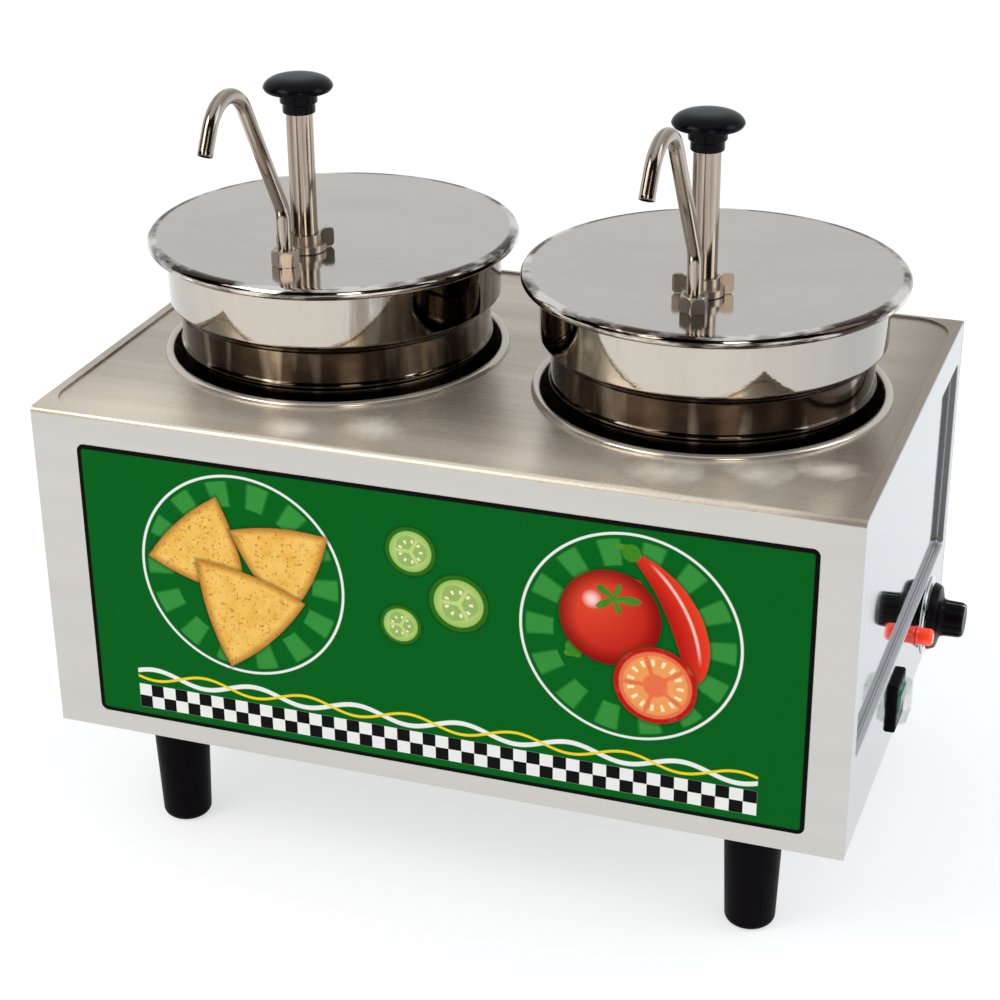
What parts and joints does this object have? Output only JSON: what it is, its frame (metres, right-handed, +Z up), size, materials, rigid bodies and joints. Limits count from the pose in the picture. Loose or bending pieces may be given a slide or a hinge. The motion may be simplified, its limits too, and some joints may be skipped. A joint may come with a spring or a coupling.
{
  "type": "twin topping warmer with pumps",
  "caption": "Countertop twin topping warmer: two lidded inset pots with plunger pumps and gooseneck spouts over a heated cabinet on legs.",
  "frame": {"origin": "centre of the footprint's bounding box, on the counter under the feet", "axes": "front with the sign and the spouts toward -Y, controls side toward +X, +Z up"},
  "size_m": [0.5788, 0.369, 0.538],
  "materials": {
    "satin_casing": "satin grained stainless sheet, faint grain along the width",
    "polished_panel": "bright polished stainless, slightly wavy reflections",
    "galvanised_sheet": "dull galvanised sheet",
    "zinc_fasteners": "zinc plated",
    "sign_film": "printed polycarbonate film: green field, thin black border, plain food motifs",
    "well_steel": "drawn stainless, polished rolled ring",
    "insulation": "mineral fibre blanket",
    "element_sheath": "heat-darkened sheath",
    "clamp_steel": "plain steel",
    "black_plastic": "moulded black plastic, fine texture",
    "thermostat_resin": "brown phenolic resin",
    "copper": "drawn copper",
    "chrome_plate": "bright plated disc",
    "knob_black": "black moulded plastic with a soft shine",
    "shaft_steel": "polished steel",
    "switch_nylon": "black nylon",
    "green_rocker": "translucent green, lit from inside",
    "clear_cover": "clear soft vinyl",
    "red_lens": "translucent red, lit from inside",
    "white_nylon": "natural white nylon",
    "ivory_ceramic": "fired ceramic",
    "lead_sleeving": "heat-resistant sleeving",
    "pot_steel": "stainless, polished band and spun body",
    "lid_steel": "satin stainless, rolled bright edge",
    "pump_steel": "polished stainless",
    "spout_steel": "polished stainless tube",
    "seal_rubber": "food-grade seal"
  },
  "bodies": {
    "housing": {"casing": "satin_casing", "side_panel_left": "polished_panel", "side_panel_right": "polished_panel", "bottom_plate": "galvanised_sheet", "casing_screws": "zinc_fasteners", "front_sign": "sign_film", "well_left": "well_steel", "well_right": "well_steel", "insulation_left": "insulation", "insulation_right": "insulation", "element_left": "element_sheath", "element_right": "element_sheath", "clamp_left": "clamp_steel", "clamp_right": "clamp_steel", "leg_front_left": "black_plastic", "leg_front_right": "black_plastic", "leg_back_left": "black_plastic", "leg_back_right": "black_plastic", "leg_studs": "zinc_fasteners", "thermostat": "thermostat_resin", "capillary": "copper", "dial_plate": "chrome_plate", "switch_body": "switch_nylon", "switch_bezel": "black_plastic", "switch_cover": "clear_cover", "pilot_lamp_lens": "red_lens", "pilot_lamp_body": "white_nylon", "terminal_block": "ivory_ceramic", "wiring": "lead_sleeving", "cord_gland": "black_plastic"},
    "dial": {"dial_knob": "knob_black", "dial_shaft": "shaft_steel"},
    "rocker": {"switch_rocker": "green_rocker"},
    "inset_left": {"pot_left": "pot_steel"},
    "cover_left": {"lid_left": "lid_steel", "pump_cylinder_left": "pump_steel", "pump_valve_left": "white_nylon", "valve_ball_left": "shaft_steel", "discharge_tube_left": "spout_steel", "discharge_nut_left": "pump_steel"},
    "collar_left": {"pump_collar_left": "pump_steel"},
    "plunger_left": {"plunger_knob_left": "knob_black", "plunger_tube_left": "spout_steel", "piston_left": "white_nylon", "piston_seal_left": "seal_rubber", "return_spring_left": "shaft_steel"},
    "inset_right": {"pot_right": "pot_steel"},
    "cover_right": {"lid_right": "lid_steel", "pump_cylinder_right": "pump_steel", "pump_valve_right": "white_nylon", "valve_ball_right": "shaft_steel", "discharge_tube_right": "spout_steel", "discharge_nut_right": "pump_steel"},
    "collar_right": {"pump_collar_right": "pump_steel"},
    "plunger_right": {"plunger_knob_right": "knob_black", "plunger_tube_right": "spout_steel", "piston_right": "white_nylon", "piston_seal_right": "seal_rubber", "return_spring_right": "shaft_steel"}
  },
  "joints": [
    {"name": "dial_turn", "type": "hinge", "parent": "housing", "child": "dial", "pos_m": [0.26255, 0.10655, 0.119], "axis": [-1, 0, 0], "range_deg": [0, 270]},
    {"name": "rocker_tilt", "type": "hinge", "parent": "housing", "child": "rocker", "pos_m": [0.26155, -0.01945, 0.118], "axis": [0, -1, 0], "range_deg": [0, 20]},
    {"name": "inset_left_lift", "type": "slide", "parent": "housing", "child": "inset_left", "axis": [0, 0, 1], "range_m": [0, 0.18]},
    {"name": "cover_left_lift", "type": "slide", "parent": "inset_left", "child": "cover_left", "axis": [0, 0, 1], "range_m": [0, 0.26]},
    {"name": "plunger_left_press", "type": "slide", "parent": "cover_left", "child": "plunger_left", "axis": [0, 0, -1], "range_m": [0, 0.06], "stiffness_N_per_m": 250, "springref_m": -0.03, "deforming": ["return_spring_left"]},
    {"name": "collar_left_turn", "type": "hinge", "parent": "cover_left", "child": "collar_left", "pos_m": [-0.14445, -0.05295, 0.407], "axis": [0, 0, 1], "range_deg": [0, 60]},
    {"name": "inset_right_lift", "type": "slide", "parent": "housing", "child": "inset_right", "axis": [0, 0, 1], "range_m": [0, 0.18]},
    {"name": "cover_right_lift", "type": "slide", "parent": "inset_right", "child": "cover_right", "axis": [0, 0, 1], "range_m": [0, 0.26]},
    {"name": "plunger_right_press", "type": "slide", "parent": "cover_right", "child": "plunger_right", "axis": [0, 0, -1], "range_m": [0, 0.06], "stiffness_N_per_m": 250, "springref_m": -0.03, "deforming": ["return_spring_right"]},
    {"name": "collar_right_turn", "type": "hinge", "parent": "cover_right", "child": "collar_right", "pos_m": [0.12752, -0.05278, 0.407], "axis": [0, 0, 1], "range_deg": [0, 60]}
  ]
}
